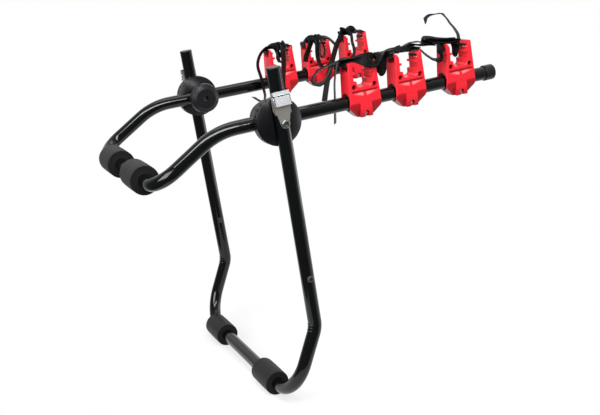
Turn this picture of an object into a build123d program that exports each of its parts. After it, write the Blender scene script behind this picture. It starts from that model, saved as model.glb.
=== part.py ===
from build123d import *
import os
from math import cos, radians, sin, tan

# A bicycle carrier for the back of a car. Millimetres and degrees.
# The origin is the middle of the lower crossbar. X runs across the car, the car is on
# the +Y side, and the arms reach out along -Y.

# Tubes of both frames
tube_d = 30.0
tube_wall = 1.5
leg_spacing = 550.0
arm_spacing = 456.0

# Lower frame: two legs, two shins and the lower crossbar
leg_lean = 9.7
leg_above_pivot = 111.0
leg_below_pivot = 458.0
shin_length = 170.0
shin_kick = 27.0
kink_radius = 60.0
lower_corner_radius = 84.0
wrinkle_angle = 8.0
wrinkle_ring_r = 11.0
wrinkle_r = 2.2
wrinkle_height = 1.2
wrinkle_root = 0.8

# Upper frame: two arms, two drops and the upper crossbar
arm_rise = 8.1
arm_length = 554.0
arm_behind_pivot = 123.5
drop_length = 166.0
drop_angle = 30.9
drop_radius = 150.0
upper_corner_radius = 52.0

# Pads on the crossbars: outer size, length and the X of each left end
lower_pad_d = 58.0
upper_pad_d = 64.0
pad_length = 88.0
lower_pad_starts = {"left": -183.0, "right": 138.0}
upper_pad_starts = {"left": -143.0, "right": 50.0}
pad_edge = 4.0
pad_bore_clearance = 0.3

# Caps of the legs and the arms
plug_depth = 12.0
plug_wall = 2.0
plug_head = 3.0
plug_clearance = 0.1
boot_d = 35.0
boot_cover = 22.0
boot_end = 3.0
boot_clearance = 0.1

# Hubs
saddle_d = 100.0
saddle_rim = 10.0
saddle_dome = 24.3
saddle_gap = 0.3
saddle_seat = 0.15
saddle_flare = 4.0
saddle_teeth = 24
tooth_gap_width = 4.0
tooth_gap_depth = 3.0
tooth_gap_reach = 8.0
bolt_d = 8.0
bolt_clearance = 0.05
bolt_head_d = 18.0
bolt_head_height = 5.5
bolt_socket = 8.0
socket_depth = 3.5
washer_d = 24.0
washer_thickness = 2.0
knob_d = 74.0
knob_neck_d = 44.0
knob_back = 13.0
knob_rim = 11.0
knob_shoulder_d = 70.0
knob_face_d = 48.0
knob_depth = 30.0
knob_back_round = 2.0
knob_rim_round = 2.5
knob_shoulder_round = 2.0
knob_face_round = 8.0
knob_flutes = 20
flute_d = 6.0
flute_depth = 1.2
knob_mouth_d = 13.0
knob_nut_across = 13.0
knob_nut_height = 6.5
knob_nut_from_face = 13.0
bolt_end_from_face = 11.5
seat_gap = 0.1

# Strap buckles on the legs
sheet = 1.6
bracket_width = 34.0
bracket_waist = 26.0
bracket_foot_r = 9.8
bracket_waist_height = 14.0
bracket_shoulder = 30.0
bracket_web_top = 46.5
bracket_top = 63.0
bracket_top_slant = 7.0
cheek_reach = 12.5
cheek_knee = 27.0
cheek_bottom = 20.0
cheek_heel = 2.0
ear_r = 2.4
pin_d = 3.0
pin_height = 52.0
pin_stand = 1.9
pin_head_d = 5.0
pin_head = 1.0
pin_clearance = 0.05
lever_sheet = 1.2
lever_drop = 13.8
lever_foot_stand = 7.3
lever_brow_rise = 7.0
lever_brow_stand = 2.6
lever_lip_rise = 14.5
lever_lip_stand = -0.3
lever_cheek_reach = 8.0
lever_cheek_drop = 7.0
spring_coil_r = 2.2
spring_wire_d = 0.6
spring_pitch = 1.0
spring_turns = 5
spring_offset = 8.5

# Anchor bolts of the lower straps
anchor_below = 340.0
anchor_d = 8.0
anchor_head_d = 15.0
anchor_head_height = 4.0
anchor_socket = 5.0
anchor_socket_depth = 2.5
anchor_nut_across = 13.0
anchor_nut_height = 6.5
anchor_end = 2.0

# Cradles: distances of their middles back from the tip of each arm
cradle_setbacks = {"left": [343.0, 227.5, 96.0], "right": [326.0, 218.0, 105.0]}
cradle_thickness = 41.0
cradle_foot_length = 78.0
cradle_top_length = 65.0
cradle_top = 85.0
cradle_shoulder = -9.0
cradle_heel_in = 2.0
cradle_heel_drop = 5.0
cradle_bottom = -33.0
cradle_bottom_length = 34.0
cradle_chin_out = 4.0
cradle_chin_rise = 3.0
cradle_edge = 1.2
notch_floor = 32.0
notch_floor_length = 26.0
notch_floor_rise = 4.0
notch_step_length = 34.0
notch_step_top = 45.0
notch_step_slope = 2.0
notch_length = 48.0
tooth_length = 37.0
tooth_bottom = 59.0
tooth_top = 65.0
tooth_slope = 1.0
notch_lip = 76.0
notch_lip_slope = 8.0
horn_length = 4.0
horn_slope = 1.5
liner_r = 18.0
liner_lift = 3.2
liner_clearance = 0.1
liner_inset = 4.0
groove_height = 21.0
groove_width = 2.4
groove_depth = 3.0
groove_end = 10.0
groove_slope = 7.0
groove_end_slope = 1.5
groove_break = 4.0
groove_vee = 11.0
side_taper_top = -1.0
side_knee = 17.2
side_knee_height = -16.0
side_taper_foot = 8.0
boss_length = 28.0
screw_spacing = 50.0
screw_height = 34.0
low_screw_height = -25.5
screw_d = 4.8
screw_clearance = 0.1
screw_head_d = 8.6
screw_head_height = 3.2
head_pocket_d = 10.8
head_pocket_depth = 9.0
low_pocket_d = 11.5
low_pocket_depth = 8.0
low_pocket_mouth = 9.0
screw_nut_across = 8.0
screw_nut_height = 3.8
nut_pocket_depth = 7.0
slot_width = 28.0
slot_bottom_in = 71.5
slot_top_in = 77.0
slot_bottom_out = 63.0
slot_top_out = 79.5

# Straps
webbing_width = 25.0
webbing = 2.0
webbing_gap = 0.3
strap_stand = 2.2
strap_slot_height = 74.0
strap_tuck = 27.0

tube_r = tube_d / 2
leg_x = leg_spacing / 2
arm_x = arm_spacing / 2
hub_x = (leg_x + arm_x) / 2
shin_lean = shin_kick - leg_lean
pivot_y = leg_below_pivot * sin(radians(leg_lean)) - shin_length * sin(radians(shin_lean))
pivot_z = leg_below_pivot * cos(radians(leg_lean)) + shin_length * cos(radians(shin_lean))

# The leg frame has the pivot at its origin and the legs along its Z axis. The arm frame
# has the pivot at its origin and the arms along its -Y axis.
leg_frame = Pos(0, pivot_y, pivot_z) * Rot(-leg_lean, 0, 0)
arm_frame = Pos(0, pivot_y, pivot_z) * Rot(-arm_rise, 0, 0)

sides = {"left": -1, "right": 1}
cradle_places = {side: [arm_length - back for back in backs] for side, backs in cradle_setbacks.items()}
CENTRE = (Align.CENTER, Align.CENTER, Align.MIN)


def save(name, shape):
    """Write one sub-part to its own file."""
    export_step(shape, f"parts/{name}.step")


def rod(radius, start, end, y=0.0, z=0.0):
    """A round bar along X from start to end."""
    low = min(start, end)
    return Pos(low, y, z) * Rot(0, 90, 0) * Cylinder(radius, abs(end - start), align=CENTRE)


def hexagon_rod(across, start, end, y=0.0, z=0.0):
    """A hexagonal bar along X from start to end."""
    low = min(start, end)
    profile = RegularPolygon(across / 2, 6, major_radius=False)
    return Pos(low, y, z) * Rot(0, 90, 0) * extrude(profile, abs(end - start))


def slab(outline, thickness, plane):
    """A closed outline of straight sides, made solid along the plane's normal."""
    return extrude(plane * make_face(Polyline(*outline, close=True)), thickness)


def mirrored(shape, side):
    """The shape as modelled for the right side, or its mirror image for the left."""
    return shape if side == "right" else mirror(shape, about=Plane.YZ)


# Frames

def bent_tube(half_path, radii):
    """A U of tube from one open end to the other, from the points of its right half."""
    points = half_path + [(-x, y, z) for x, y, z in reversed(half_path)]
    path = FilletPolyline(*points, radius=radii + radii[::-1])
    start = Plane(origin=path @ 0, z_dir=path % 0)
    outside = sweep(start * Circle(tube_r), path=path)
    inside = sweep(start * Circle(tube_r - tube_wall), path=path)
    return outside - inside


def cross_holes(hole_r, x, z=0.0):
    """Holes along X through both tubes of a frame."""
    reach = tube_r + 1
    return [rod(hole_r, sign * x - reach, sign * x + reach, z=z) for sign in sides.values()]


def kink_wrinkles():
    """The crescent folds that the bending left inside the right leg's kink."""
    back = kink_radius / cos(radians(shin_kick / 2))
    middle = Pos(leg_x, 0, -leg_below_pivot) * Rot(shin_kick / 2, 0, 0) * Pos(0, back, 0)
    out = tube_r + wrinkle_height - wrinkle_ring_r - wrinkle_r
    fold = Pos(0, out, 0) * Torus(wrinkle_ring_r, wrinkle_r)
    fold -= Cylinder(tube_r - wrinkle_root, 4 * wrinkle_r)
    return [middle * Rot(turn, 0, 0) * Pos(0, -kink_radius, 0) * fold
            for turn in (-wrinkle_angle, 0, wrinkle_angle)]


def lower_frame():
    """Legs, shins and the lower crossbar."""
    kick = radians(shin_kick)
    corner = (leg_x, shin_length * sin(kick), -leg_below_pivot - shin_length * cos(kick))
    half = [(leg_x, 0, leg_above_pivot), (leg_x, 0, -leg_below_pivot), corner]
    tube = bent_tube(half, [kink_radius, lower_corner_radius])
    for wrinkle in kink_wrinkles():
        tube += [wrinkle, mirror(wrinkle, about=Plane.YZ)]
    for hole in cross_holes(bolt_d / 2 + bolt_clearance, leg_x):
        tube -= hole
    for hole in cross_holes(anchor_d / 2 + bolt_clearance, leg_x, -anchor_below):
        tube -= hole
    return leg_frame * tube


def upper_frame():
    """Arms, drops and the upper crossbar."""
    fall = radians(drop_angle)
    bend = (arm_x, arm_behind_pivot, 0)
    corner = (arm_x, arm_behind_pivot + drop_length * cos(fall), -drop_length * sin(fall))
    tube = bent_tube([(arm_x, -arm_length, 0), bend, corner], [drop_radius, upper_corner_radius])
    for hole in cross_holes(bolt_d / 2 + bolt_clearance, arm_x):
        tube -= hole
    return arm_frame * tube


def upper_crossbar_place():
    """The middle of the upper crossbar, in the row's frame."""
    fall = radians(drop_angle)
    y = arm_behind_pivot + drop_length * cos(fall)
    return arm_frame * Pos(0, y, -drop_length * sin(fall))


def pad(outer_d, start):
    """A round pad that wraps a crossbar."""
    body = rod(outer_d / 2, start, start + pad_length)
    body = fillet(body.edges().filter_by(GeomType.CIRCLE), pad_edge)
    return body - rod(tube_r + pad_bore_clearance, start - 1, start + pad_length + 1)


# Caps

def leg_cap():
    """The plug in the top of the right leg."""
    plug_r = tube_r - tube_wall - plug_clearance
    head = Pos(leg_x, 0, leg_above_pivot) * Cylinder(tube_r, plug_head, align=CENTRE)
    head = fillet(head.edges().sort_by(Axis.Z)[-1], plug_head / 2)
    skirt = Cylinder(plug_r, plug_depth, align=CENTRE)
    skirt -= Cylinder(plug_r - plug_wall, plug_depth - plug_wall, align=CENTRE)
    return leg_frame * (head + Pos(leg_x, 0, leg_above_pivot - plug_depth) * skirt)


def arm_cap():
    """The rubber boot over the tip of the right arm."""
    lie = Pos(arm_x, -arm_length + boot_cover, 0) * Rot(90, 0, 0)
    boot = Cylinder(boot_d / 2, boot_cover + boot_end, align=CENTRE)
    boot = fillet(boot.edges().filter_by(GeomType.CIRCLE).sort_by(Axis.Z)[-1], boot_end)
    boot = fillet(boot.edges().filter_by(GeomType.CIRCLE).sort_by(Axis.Z)[0], 1.0)
    boot -= Cylinder(tube_r + boot_clearance, boot_cover, align=CENTRE)
    return arm_frame * (lie * boot)


# Hubs

def saddle(tube_rests_at):
    """A domed disc on the X axis from zero outwards, with a bed for a tube along Z."""
    half_gap = saddle_gap / 2
    rim = saddle_d / 2
    dome_arc = ThreePointArc((saddle_rim, rim), (saddle_dome * 0.8, rim * 0.62), (saddle_dome, 0))
    back = Polyline((saddle_dome, 0), (half_gap, 0), (half_gap, rim), (saddle_rim, rim))
    disc = revolve(make_face(back + dome_arc), axis=Axis.X)
    bed_r = tube_r + saddle_seat
    bed = Pos(tube_rests_at, 0, 0) * Cylinder(bed_r, saddle_d + 2)
    mouth_low = tube_rests_at - bed_r / 2
    mouth_high = saddle_dome + 1
    mouth = [(mouth_low, -bed_r), (mouth_high, -bed_r - saddle_flare),
             (mouth_high, bed_r + saddle_flare), (mouth_low, bed_r)]
    opening = Pos(0, 0, -saddle_d / 2 - 1) * slab(mouth, saddle_d + 2, Plane.XY)
    disc = disc - bed - opening
    notch = Pos(half_gap, 0, rim - tooth_gap_reach) * Box(
        tooth_gap_depth, tooth_gap_width, tooth_gap_reach + 1, align=(Align.MIN, Align.CENTER, Align.MIN))
    for turn in range(saddle_teeth):
        disc -= Rot(360 / saddle_teeth * (turn + 0.5), 0, 0) * notch
    return disc - rod(bolt_d / 2 + bolt_clearance, -1, saddle_dome + 1)


def outer_saddle():
    """The right saddle that holds the leg."""
    return leg_frame * Pos(hub_x, 0, 0) * saddle(leg_x - hub_x)


def inner_saddle():
    """The right saddle that holds the arm."""
    facing_in = Rot(0, 0, 180) * Rot(90, 0, 0)
    return arm_frame * Pos(hub_x, 0, 0) * facing_in * saddle(hub_x - arm_x)


def knob_base():
    """The X of the right knob's back, against its washer."""
    return arm_x - tube_r - seat_gap - washer_thickness - seat_gap


def bolt_start():
    """The X where the right hub bolt's head sits on the bracket."""
    return leg_x + tube_r + seat_gap + sheet + seat_gap


def hub_bolt():
    """The right hub bolt, from its socket head to its end inside the knob."""
    start = bolt_start()
    head = rod(bolt_head_d / 2, start, start + bolt_head_height)
    rims = head.edges().filter_by(GeomType.CIRCLE).sort_by(Axis.X)
    head = fillet(rims[-1], bolt_head_height * 0.6)
    top = start + bolt_head_height
    head -= hexagon_rod(bolt_socket, top - socket_depth, top + 1)
    return head + rod(bolt_d / 2, knob_base() - knob_depth + bolt_end_from_face, start)


def knob_washer():
    """The right washer between arm and knob."""
    start = arm_x - tube_r - seat_gap
    ring = rod(washer_d / 2, start - washer_thickness, start)
    return ring - rod(bolt_d / 2 + bolt_clearance, start - washer_thickness - 1, start + 1)


def knob_nut_span():
    """The X range of the nut in the right knob."""
    front = knob_base() - knob_depth + knob_nut_from_face
    return front, front + knob_nut_height


def knob():
    """The right hub knob: a fluted dish around a moulded-in nut."""
    base = knob_base()
    rim = knob_d / 2
    front = base - knob_depth
    outline = FilletPolyline(
        (base, 0), (base, knob_neck_d / 2), (base - knob_back, rim),
        (base - knob_back - knob_rim, knob_shoulder_d / 2), (front, knob_face_d / 2), (front, 0),
        radius=[knob_back_round, knob_rim_round, knob_shoulder_round, knob_face_round], close=False)
    body = revolve(make_face(outline + Line((front, 0), (base, 0))), axis=Axis.X)
    flute = rod(flute_d / 2, front - 1, base + 1, y=rim + flute_d / 2 - flute_depth)
    for turn in range(knob_flutes):
        body -= Rot(360 / knob_flutes * turn, 0, 0) * flute
    start, end = knob_nut_span()
    body -= hexagon_rod(knob_nut_across + 2 * bolt_clearance, start - bolt_clearance, end + bolt_clearance)
    body -= rod(knob_mouth_d / 2, front - 1, start)
    return body - rod(bolt_d / 2 + bolt_clearance, start, base + 1)


def knob_nut():
    """The nut in the right knob."""
    start, end = knob_nut_span()
    return hexagon_rod(knob_nut_across, start, end) - rod(bolt_d / 2 + bolt_clearance, start - 1, end + 1)


# Buckles

def bracket_face():
    """The X of the right bracket's plate, next to the leg."""
    return leg_x + tube_r + seat_gap


def pin_x():
    """The X of the right lever's pin."""
    return leg_x + tube_r + pin_stand


def across_y(radius, length):
    """A round bar along Y, centred on the origin."""
    return Rot(90, 0, 0) * Cylinder(radius, length)


def buckle_bracket():
    """The right bracket: a plate on the hub bolt with cheeks astride the leg."""
    start = bracket_face()
    end = start + sheet
    half = bracket_width / 2
    waist = bracket_waist / 2
    outline = [(-waist, bracket_waist_height), (-half, bracket_shoulder), (-half, bracket_web_top)]
    outline += [(-y, z) for y, z in reversed(outline)] + [(bracket_foot_r, 0), (-bracket_foot_r, 0)]
    web = Pos(start, 0, 0) * slab(outline, sheet, Plane.YZ) + rod(bracket_foot_r, start, end)
    profile = [(end, cheek_bottom), (end, bracket_top - bracket_top_slant), (start, bracket_top),
               (start - cheek_reach, bracket_top), (start - cheek_reach, cheek_knee),
               (start - cheek_heel, cheek_bottom)]
    cheek = slab(profile, sheet, Plane.XZ)
    cheek += Pos(pin_x(), -sheet / 2, pin_height) * across_y(ear_r, sheet)
    bracket = web + Pos(0, half, 0) * cheek + Pos(0, sheet - half, 0) * cheek
    bracket -= rod(bolt_d / 2 + bolt_clearance, start - 1, end + 1)
    bore = across_y(pin_d / 2 + pin_clearance, bracket_width + 2)
    return leg_frame * (bracket - Pos(pin_x(), 0, pin_height) * bore)


def lever_front():
    """The front of the lever seen along Y from its pin: the foot, the brow and the lip."""
    foot = (lever_foot_stand, -lever_drop)
    brow = (lever_brow_stand, lever_brow_rise)
    lip = (lever_lip_stand, lever_lip_rise)
    return foot, brow, lip


def cam_lever():
    """The right cam lever: a bent plate with cheeks outside the bracket's."""
    inner = bracket_width + 2 * seat_gap
    width = inner + 2 * lever_sheet
    foot, brow, lip = lever_front()
    thick = lever_sheet
    bend = [foot, brow, lip, (lip[0] - thick, lip[1] - thick / 2), (brow[0] - thick, brow[1] - thick / 2),
            (foot[0] - thick, foot[1])]
    plate = Pos(0, width / 2, 0) * slab(bend, width, Plane.XZ)
    side = [(foot[0] - thick, foot[1] + thick), brow, lip, (-lever_cheek_reach, lip[1] - thick),
            (-lever_cheek_reach, 0), (0, -lever_cheek_drop)]
    cheek = slab(side, thick, Plane.XZ)
    body = plate + Pos(0, width / 2, 0) * cheek + Pos(0, thick - width / 2, 0) * cheek
    body -= across_y(pin_d / 2 + pin_clearance, width + 2)
    return leg_frame * Pos(pin_x(), 0, pin_height) * body


def lever_pin():
    """The right lever's pin, headed at both ends."""
    length = bracket_width + 4 * seat_gap + 2 * lever_sheet
    head = Cylinder(pin_head_d / 2, pin_head, align=CENTRE)
    pin = Cylinder(pin_d / 2, length) + Pos(0, 0, length / 2) * head
    pin += Pos(0, 0, -length / 2 - pin_head) * head
    return leg_frame * Pos(pin_x(), 0, pin_height) * Rot(90, 0, 0) * pin


def lever_spring():
    """The right lever's coil around its pin, beside the leg."""
    height = spring_turns * spring_pitch
    coil = Helix(spring_pitch, height, spring_coil_r)
    start = Plane(origin=coil @ 0, z_dir=coil % 0)
    wire = sweep(start * Circle(spring_wire_d / 2), path=coil, is_frenet=True)
    return leg_frame * Pos(pin_x(), spring_offset, pin_height) * Rot(-90, 0, 0) * wire


# Anchor bolts

def anchor_bolt():
    """The right anchor bolt through the leg."""
    start = leg_x + tube_r + seat_gap
    end = leg_x - tube_r - seat_gap - anchor_nut_height - anchor_end
    head = rod(anchor_head_d / 2, start, start + anchor_head_height)
    head = fillet(head.edges().filter_by(GeomType.CIRCLE).sort_by(Axis.X)[-1], anchor_head_height * 0.6)
    top = start + anchor_head_height
    head -= hexagon_rod(anchor_socket, top - anchor_socket_depth, top + 1)
    return leg_frame * Pos(0, 0, -anchor_below) * (head + rod(anchor_d / 2, end, start))


def anchor_nut():
    """The right anchor bolt's nut, inside the leg."""
    end = leg_x - tube_r - seat_gap
    nut = hexagon_rod(anchor_nut_across, end - anchor_nut_height, end)
    nut -= rod(anchor_d / 2 + bolt_clearance, end - anchor_nut_height - 1, end + 1)
    return leg_frame * Pos(0, 0, -anchor_below) * nut


# Cradles, modelled about the arm's axis: Y along the arm with the tip at -Y, and Z up

def cradle_outline():
    """One side of the cradle seen along X, and its mirror image, as a closed outline."""
    half = [
        (notch_floor_length / 2, notch_floor), (notch_step_length / 2, notch_floor + notch_floor_rise),
        (notch_step_length / 2, notch_step_top), (notch_length / 2, notch_step_top + notch_step_slope),
        (notch_length / 2, tooth_bottom), (tooth_length / 2, tooth_bottom + tooth_slope),
        (tooth_length / 2, tooth_top - tooth_slope), (notch_length / 2, tooth_top),
        (notch_length / 2, notch_lip),
        (cradle_top_length / 2 - horn_length, notch_lip + notch_lip_slope),
        (cradle_top_length / 2 - horn_length / 2, cradle_top),
        (cradle_top_length / 2, cradle_top - horn_slope), (cradle_foot_length / 2, cradle_shoulder),
        (cradle_foot_length / 2 - cradle_heel_in, cradle_shoulder - cradle_heel_drop),
        (cradle_bottom_length / 2 + cradle_chin_out, cradle_bottom + cradle_chin_rise),
        (cradle_bottom_length / 2, cradle_bottom)]
    return half + [(-y, z) for y, z in reversed(half)]


def liner_profile(radius):
    """The keyed outline of a cradle's liner: a circle, lifted to a rounded slot."""
    tall = make_hull((Circle(radius) + Pos(0, liner_lift) * Circle(radius)).edges())
    return Plane.XZ * tall


def liner_solid(radius, length):
    """The liner's outline along the arm, centred on the cradle."""
    return Pos(0, length / 2, 0) * extrude(liner_profile(radius), length)


def side_relief():
    """What is cut from the right face below the shoulder, ahead of and behind the boss."""
    half = cradle_thickness / 2
    low = cradle_bottom - 1
    profile = [(half + 1, side_taper_top), (half, side_taper_top), (side_knee, side_knee_height),
               (side_taper_foot, low), (half + 1, low)]
    length = cradle_foot_length
    wedge = slab(profile, length, Plane.XZ)
    return [Pos(0, -boss_length / 2, 0) * wedge, Pos(0, boss_length / 2 + length, 0) * wedge]


def groove_section(y, slope):
    """The groove's section in the right face: sharp above and sloping below."""
    face = cradle_thickness / 2
    top = groove_height + groove_width
    foot = groove_height - slope
    corners = [(face, foot), (face - groove_depth, groove_height), (face - groove_depth, top),
               (face + 1, top), (face + 1, foot)]
    return make_face(Polyline(*[Vector(x, y, z) for x, z in corners], close=True))


def face_groove():
    """The groove across the right face, wider towards the vee in its middle."""
    face = cradle_thickness / 2
    end = cradle_foot_length / 2 - groove_end
    sections = [groove_section(end, groove_end_slope), groove_section(groove_break / 2, groove_slope)]
    cut = loft(sections, ruled=True)
    top = groove_height + groove_width
    vee = [(-groove_break, top), (0, groove_height - groove_vee), (groove_break, top)]
    dip = Pos(face - groove_depth, 0, 0) * slab(vee, groove_depth + 1, Plane.YZ)
    return [cut, mirror(cut, about=Plane.XZ), dip]


def strap_slots():
    """The slots for the strap through both posts, wider outwards."""
    inner = notch_length / 2 - 1
    outer = cradle_foot_length / 2
    outline = [(inner, slot_bottom_in), (inner, slot_top_in),
               (outer, slot_top_out), (outer, slot_bottom_out)]
    slot = Pos(-slot_width / 2, 0, 0) * slab(outline, slot_width, Plane.YZ)
    return [slot, mirror(slot, about=Plane.XZ)]


def screw_places():
    """The Y and Z of a cradle's screws, and how deep each head sits."""
    half = screw_spacing / 2
    return [(-half, screw_height, head_pocket_depth), (half, screw_height, head_pocket_depth),
            (0, low_screw_height, low_pocket_depth)]


def cradle_half():
    """The right half shell of a cradle, without its screw pockets."""
    half = cradle_thickness / 2
    body = slab(cradle_outline(), half, Plane.YZ)
    body = chamfer(body.faces().sort_by(Axis.X)[-1].outer_wire().edges(), cradle_edge)
    for cut in side_relief() + face_groove() + strap_slots():
        body -= cut
    body -= liner_solid(liner_r + liner_clearance, cradle_foot_length + 2)
    for y, z, depth in screw_places():
        body -= rod(screw_d / 2 + screw_clearance, -1, half + 1, y=y, z=z)
    return body


def head_pockets():
    """The pockets of the screw heads in the left face, the low one open at the bottom."""
    face = -cradle_thickness / 2
    *upper, (y, z, depth) = screw_places()
    pockets = [rod(head_pocket_d / 2, face - 1, face + deep, y=along, z=up) for along, up, deep in upper]
    low = cradle_bottom - 1
    mouth = [(face - 1, z), (face + depth, z), (face + depth, low), (face - 1, low)]
    pockets.append(rod(low_pocket_d / 2, face - 1, face + depth, y=y, z=z))
    pockets.append(Pos(0, low_pocket_mouth / 2, 0) * slab(mouth, low_pocket_mouth, Plane.XZ))
    return pockets


def screw_half():
    """The half shell that the screws enter, on the -X side."""
    body = mirror(cradle_half(), about=Plane.YZ)
    for pocket in head_pockets():
        body -= pocket
    return body


def nut_half():
    """The half shell that holds the nuts, on the +X side."""
    half = cradle_thickness / 2
    body = cradle_half()
    for y, z, depth in screw_places():
        across = screw_nut_across + 2 * screw_clearance
        body -= hexagon_rod(across, half - nut_pocket_depth, half + 1, y=y, z=z)
    return body


def cradle_screw(y, z, depth):
    """One cradle screw with a round head."""
    half = cradle_thickness / 2
    seat = depth - half
    head = rod(screw_head_d / 2, seat - screw_head_height, seat, y=y, z=z)
    head = fillet(head.edges().filter_by(GeomType.CIRCLE).sort_by(Axis.X)[0], screw_head_height * 0.5)
    return head + rod(screw_d / 2, seat, half - nut_pocket_depth + screw_nut_height, y=y, z=z)


def cradle_nut(y, z):
    """One cradle nut."""
    start = cradle_thickness / 2 - nut_pocket_depth
    end = start + screw_nut_height
    nut = hexagon_rod(screw_nut_across, start, end, y=y, z=z)
    return nut - rod(screw_d / 2 + screw_clearance / 2, start - 1, end + 1, y=y, z=z)


def liner():
    """The rubber liner between a cradle and its arm."""
    length = cradle_foot_length - 2 * liner_inset
    return liner_solid(liner_r, length) - Rot(90, 0, 0) * Cylinder(tube_r + liner_clearance, length + 2)


def on_arm(side, place):
    """The frame of a cradle whose middle is this far along an arm."""
    return arm_frame * Pos(sides[side] * arm_x, -place, 0)


# Straps, as points along the arm and above it, with the sideways shift of each point

def ribbon(points):
    """A flat strap whose width lies along X, through (shift, along, up) points."""
    middles = [Vector(0, -along, up) for shift, along, up in points]
    steps = [(end - start).normalized() for start, end in zip(middles, middles[1:])]
    sections = []
    for i, (shift, along, up) in enumerate(points):
        before = steps[max(i - 1, 0)]
        after = steps[min(i, len(steps) - 1)]
        run = (before + after).normalized()
        across = Vector(0, -run.Z, run.Y) * (webbing / 2 / run.dot(after))
        left = middles[i] + Vector(shift - webbing_width / 2, 0, 0)
        right = middles[i] + Vector(shift + webbing_width / 2, 0, 0)
        corners = [left + across, right + across, right - across, left - across]
        sections.append(make_face(Polyline(*corners, close=True)))
    stretches = [loft(pair, ruled=True) for pair in zip(sections, sections[1:])]
    return stretches[0].fuse(*stretches[1:])


def hold_down():
    """The strap's run over a cradle, from inside one slot to inside the other."""
    out = cradle_top_length / 2 + strap_stand + webbing / 2
    up = cradle_top + webbing_gap + webbing / 2
    half = [(0, -strap_tuck, strap_slot_height), (0, -out, strap_slot_height), (0, -out, up)]
    return half + [(0, -along, height) for shift, along, height in reversed(half)]


# Loose stretches of each strap: (sideways shift, distance beyond its cradle's middle, height)
loose_runs = {
    "strap_left_1": [
        [(0, -21, 88.7), (0, -46, 88.7), (0, -71, 86), (0, -93, 80), (0, -107, 69), (0, -105, 58),
         (0, -94, 53), (0, -79, 60), (0, -68, 71)],
        [(7, -29, 91.2), (19, -40, 91), (27, -50, 84), (28.5, -59, 64), (28.5, -63, 44), (28.5, -65, 19),
         (28.5, -66.5, -15), (28.5, -67.5, -41)],
        [(0, 3, 88.7), (0, 34, 89), (0, 57, 86), (0, 71, 88), (0, 87, 93), (0, 119, 93.5),
         (0, 154, 94)],
        [(0, 45, 86.1), (0, 46, 62), (0, 53, 46), (0, 62, 58), (0, 64, 85.4)]],
    "strap_left_2": [
        [(0, 31.5, 88.8), (0, 43.5, 84), (0, 53.5, 73), (0, 64.5, 62), (0, 76.5, 55), (0, 85.5, 60),
         (0, 88.5, 70)]],
    "strap_left_3": [
        [(0, -18, 88.7), (0, -34, 91), (0, -58, 90), (0, -76, 88), (0, -84, 90), (0, -87, 94.5),
         (0, -83, 98.5), (0, -72, 99.5), (0, -54, 99), (0, -34, 99), (0, -14, 97)],
        [(0, 30, 88.7), (0, 20, 93), (0, 13, 105), (0, 2, 122), (0, -11, 138), (0, -26, 147),
         (0, -43, 150), (0, -58, 146), (0, -72, 139)]],
    "strap_right_1": [
        [(-5, -24, 88.7), (-13, -42, 88), (-22, -56, 82), (-28, -67, 70), (-28, -72, 52), (-28, -71, 34),
         (-28, -68, 14), (-28, -65, -8), (-28, -64, -30), (-28, -73, -38), (-28, -86, -33),
         (-28, -97, -24)],
        [(-8, 4, 88.7), (-22, -1, 90.5), (-36, -6, 80), (-36, -5, 60), (-36, -5, 43), (-36, -9, 18),
         (-36, -10, -10)]],
    "strap_right_2": [
        [(-8, -20, 88.7), (-24, -25, 92), (-36, -30, 88), (-36, -37, 76), (-36, -44, 64), (-36, -50, 50),
         (-36, -52, 38)],
        [(-8, -2, 88.7), (-22, -7, 90.5), (-36, -12, 80), (-36, -14, 60), (-36, -14, 40), (-36, -9, 20)],
        [(0, 31, 88.8), (0, 43, 84), (0, 52, 72), (0, 61, 62), (0, 68, 68)]],
    "strap_right_3": [
        [(-6, -7, 88.7), (-20, -13, 90.5), (-36, -19, 80), (-36, -22, 62), (-36, -19, 44), (-36, -22, 30),
         (-36, -32, 22)],
        [(0, -23, 88.7), (-10, -37, 95), (-24, -49, 92), (-36, -61, 80), (-36, -71, 60), (-36, -79, 40),
         (-36, -87, 22), (-36, -99, -3), (-36, -111, -32), (-36, -121, -56), (-36, -126, -70)]],
}


def strap(side, index):
    """One strap: its run over the cradle and its loose stretches."""
    runs = [hold_down()] + loose_runs[f"strap_{side}_{index + 1}"]
    return on_arm(side, cradle_places[side][index]) * Compound(children=[ribbon(run) for run in runs])


def group(pieces):
    """Separate solids that share one file."""
    return Compound(children=pieces)


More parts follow.
